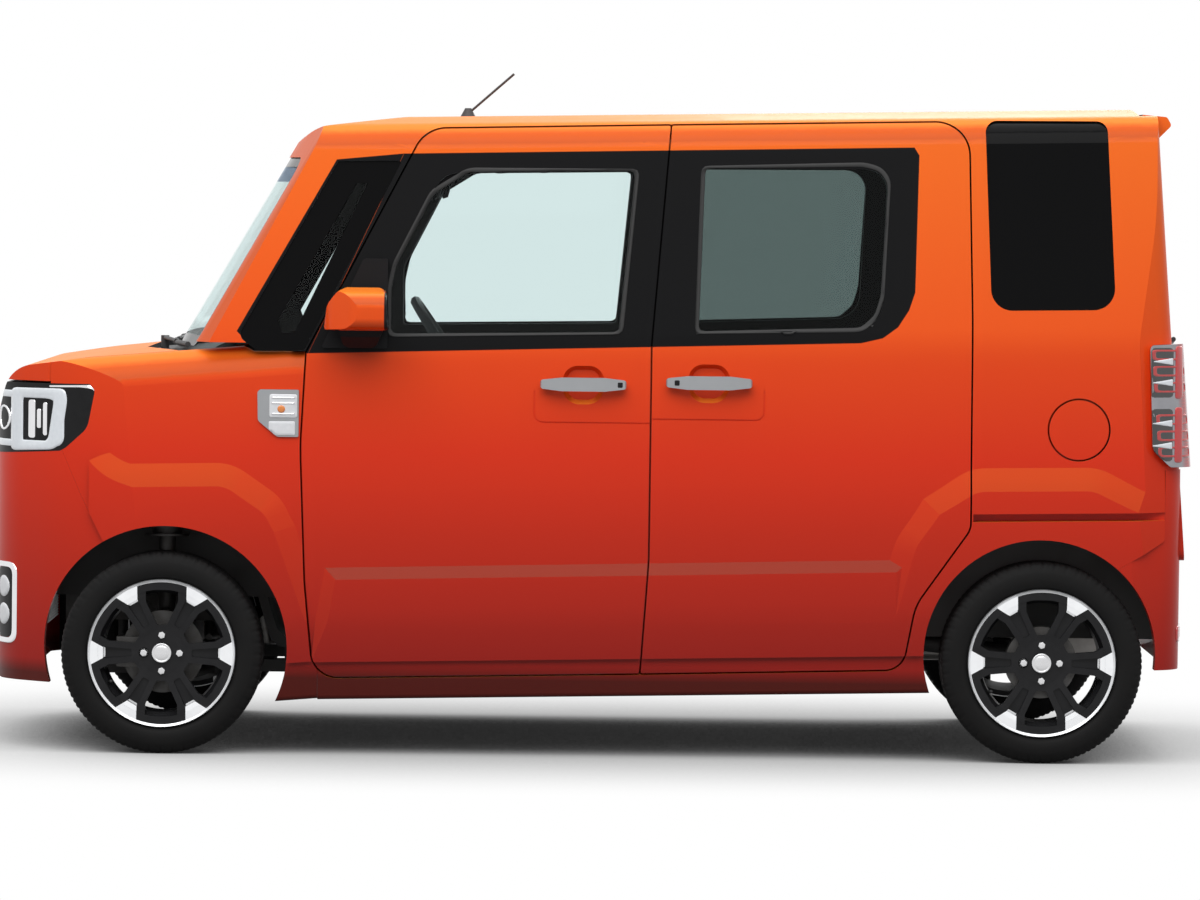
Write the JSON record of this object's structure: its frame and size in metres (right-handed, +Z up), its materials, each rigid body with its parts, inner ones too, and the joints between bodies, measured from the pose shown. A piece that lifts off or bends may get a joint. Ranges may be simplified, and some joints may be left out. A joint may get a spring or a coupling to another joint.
{
  "type": "kei car",
  "caption": "Tall box-shaped kei car with a short nose, sliding rear doors, hinged front doors, bonnet, tailgate and steered front wheels.",
  "frame": {"origin": "on the ground under the centre of the car", "axes": "+X forward, +Y to the car's left, +Z up"},
  "size_m": [3.3952, 1.8236, 1.92],
  "materials": {
    "alloy": "machined",
    "black_trim": "satin",
    "body": "gloss",
    "chassis": "satin",
    "chrome": "polished",
    "dark_glass": "tinted",
    "fabric": "matte",
    "glass": "clear",
    "interior": "matte",
    "lamp": "clear",
    "red_lamp": "clear",
    "steel": "satin",
    "tyre": "matte"
  },
  "bodies": {
    "body": {"antenna": "black_trim", "body_side_left": "body", "body_side_right": "body", "cowl_panel": "black_trim", "dashboard": "interior", "drive_shafts": "chassis", "engine": "chassis", "exhaust": "chassis", "floor_pan": "chassis", "front_bumper": "body", "front_frame": "chassis", "front_seats": "fabric", "front_subframe": "chassis", "front_wings": "body", "front_wipers": "black_trim", "fuel_tank": "chassis", "grille": "black_trim", "headlights": "lamp", "rear_axle": "chassis", "rear_bumper": "body", "rear_seat": "fabric", "rear_springs": "chassis", "roof_panel": "body", "side_garnishes": "chrome", "side_windows": "dark_glass", "sliding_door_handles": "chrome", "sliding_doors": "body", "steering_rack": "chassis", "tail_lamps": "red_lamp", "wheel_liners": "black_trim", "windscreen": "glass"},
    "front_door_left": {"front_door_left": "body", "front_door_glass_left": "glass", "front_door_handle_left": "chrome", "door_mirror_left": "body"},
    "front_door_right": {"front_door_right": "body", "front_door_glass_right": "glass", "front_door_handle_right": "chrome", "door_mirror_right": "body"},
    "bonnet": {"bonnet": "body"},
    "tailgate": {"tailgate": "body", "tailgate_glass": "dark_glass", "rear_wiper": "black_trim"},
    "fuel_lid": {"fuel_lid": "body"},
    "steering_wheel": {"steering_wheel": "interior"},
    "knuckle_left": {"knuckle_left": "chassis"},
    "knuckle_right": {"knuckle_right": "chassis"},
    "wheel_front_left": {"tyre_front_left": "tyre", "alloy_wheel_front_left": "alloy", "brake_front_left": "steel"},
    "wheel_front_right": {"tyre_front_right": "tyre", "alloy_wheel_front_right": "alloy", "brake_front_right": "steel"},
    "wheel_rear_left": {"tyre_rear_left": "tyre", "alloy_wheel_rear_left": "alloy", "brake_rear_left": "steel"},
    "wheel_rear_right": {"tyre_rear_right": "tyre", "alloy_wheel_rear_right": "alloy", "brake_rear_right": "steel"}
  },
  "joints": [
    {"name": "steering", "type": "hinge", "parent": "body", "child": "steering_wheel", "pos_m": [0.4015, -0.335, 1.095], "axis": [-0.8378, 0, 0.5459], "range_deg": [-528, 528]},
    {"name": "steer_left", "type": "hinge", "parent": "body", "child": "knuckle_left", "pos_m": [1.1725, 0.5885, 0.205], "axis": [0, -0.1264, 0.992], "range_deg": [-33, 33]},
    {"name": "steer_right", "type": "hinge", "parent": "body", "child": "knuckle_right", "pos_m": [1.1725, -0.5885, 0.205], "axis": [0, 0.1264, 0.992], "range_deg": [-33, 33]},
    {"name": "front_left_wheel_spin", "type": "hinge", "parent": "knuckle_left", "child": "wheel_front_left", "pos_m": [1.1725, 0.6525, 0.281], "axis": [0, 1, 0], "continuous": true},
    {"name": "front_right_wheel_spin", "type": "hinge", "parent": "knuckle_right", "child": "wheel_front_right", "pos_m": [1.1725, -0.6525, 0.281], "axis": [0, 1, 0], "continuous": true},
    {"name": "rear_left_wheel_spin", "type": "hinge", "parent": "body", "child": "wheel_rear_left", "pos_m": [-1.2825, 0.6475, 0.281], "axis": [0, 1, 0], "continuous": true},
    {"name": "rear_right_wheel_spin", "type": "hinge", "parent": "body", "child": "wheel_rear_right", "pos_m": [-1.2825, -0.6475, 0.281], "axis": [0, 1, 0], "continuous": true},
    {"name": "front_door_left_hinge", "type": "hinge", "parent": "body", "child": "front_door_left", "pos_m": [0.793, 0.726, 0.7], "axis": [0, 0, -1], "range_deg": [0, 65]},
    {"name": "front_door_right_hinge", "type": "hinge", "parent": "body", "child": "front_door_right", "pos_m": [0.793, -0.726, 0.7], "axis": [0, 0, 1], "range_deg": [0, 65]},
    {"name": "tailgate_hinge", "type": "hinge", "parent": "body", "child": "tailgate", "pos_m": [-1.5825, 0, 1.842], "axis": [0, 1, 0], "range_deg": [0, 80]},
    {"name": "bonnet_hinge", "type": "hinge", "parent": "body", "child": "bonnet", "pos_m": [1.1355, 0, 1.13], "axis": [0, -1, 0], "range_deg": [0, 50]},
    {"name": "fuel_lid_hinge", "type": "hinge", "parent": "body", "child": "fuel_lid", "pos_m": [-1.2923, 0.7257, 0.934], "axis": [0, 0, -1], "range_deg": [0, 100]}
  ],
  "couplings": [
    {"joint": "steer_left", "follows": "steering", "ratio": 0.0625},
    {"joint": "steer_right", "follows": "steering", "ratio": 0.0625}
  ]
}
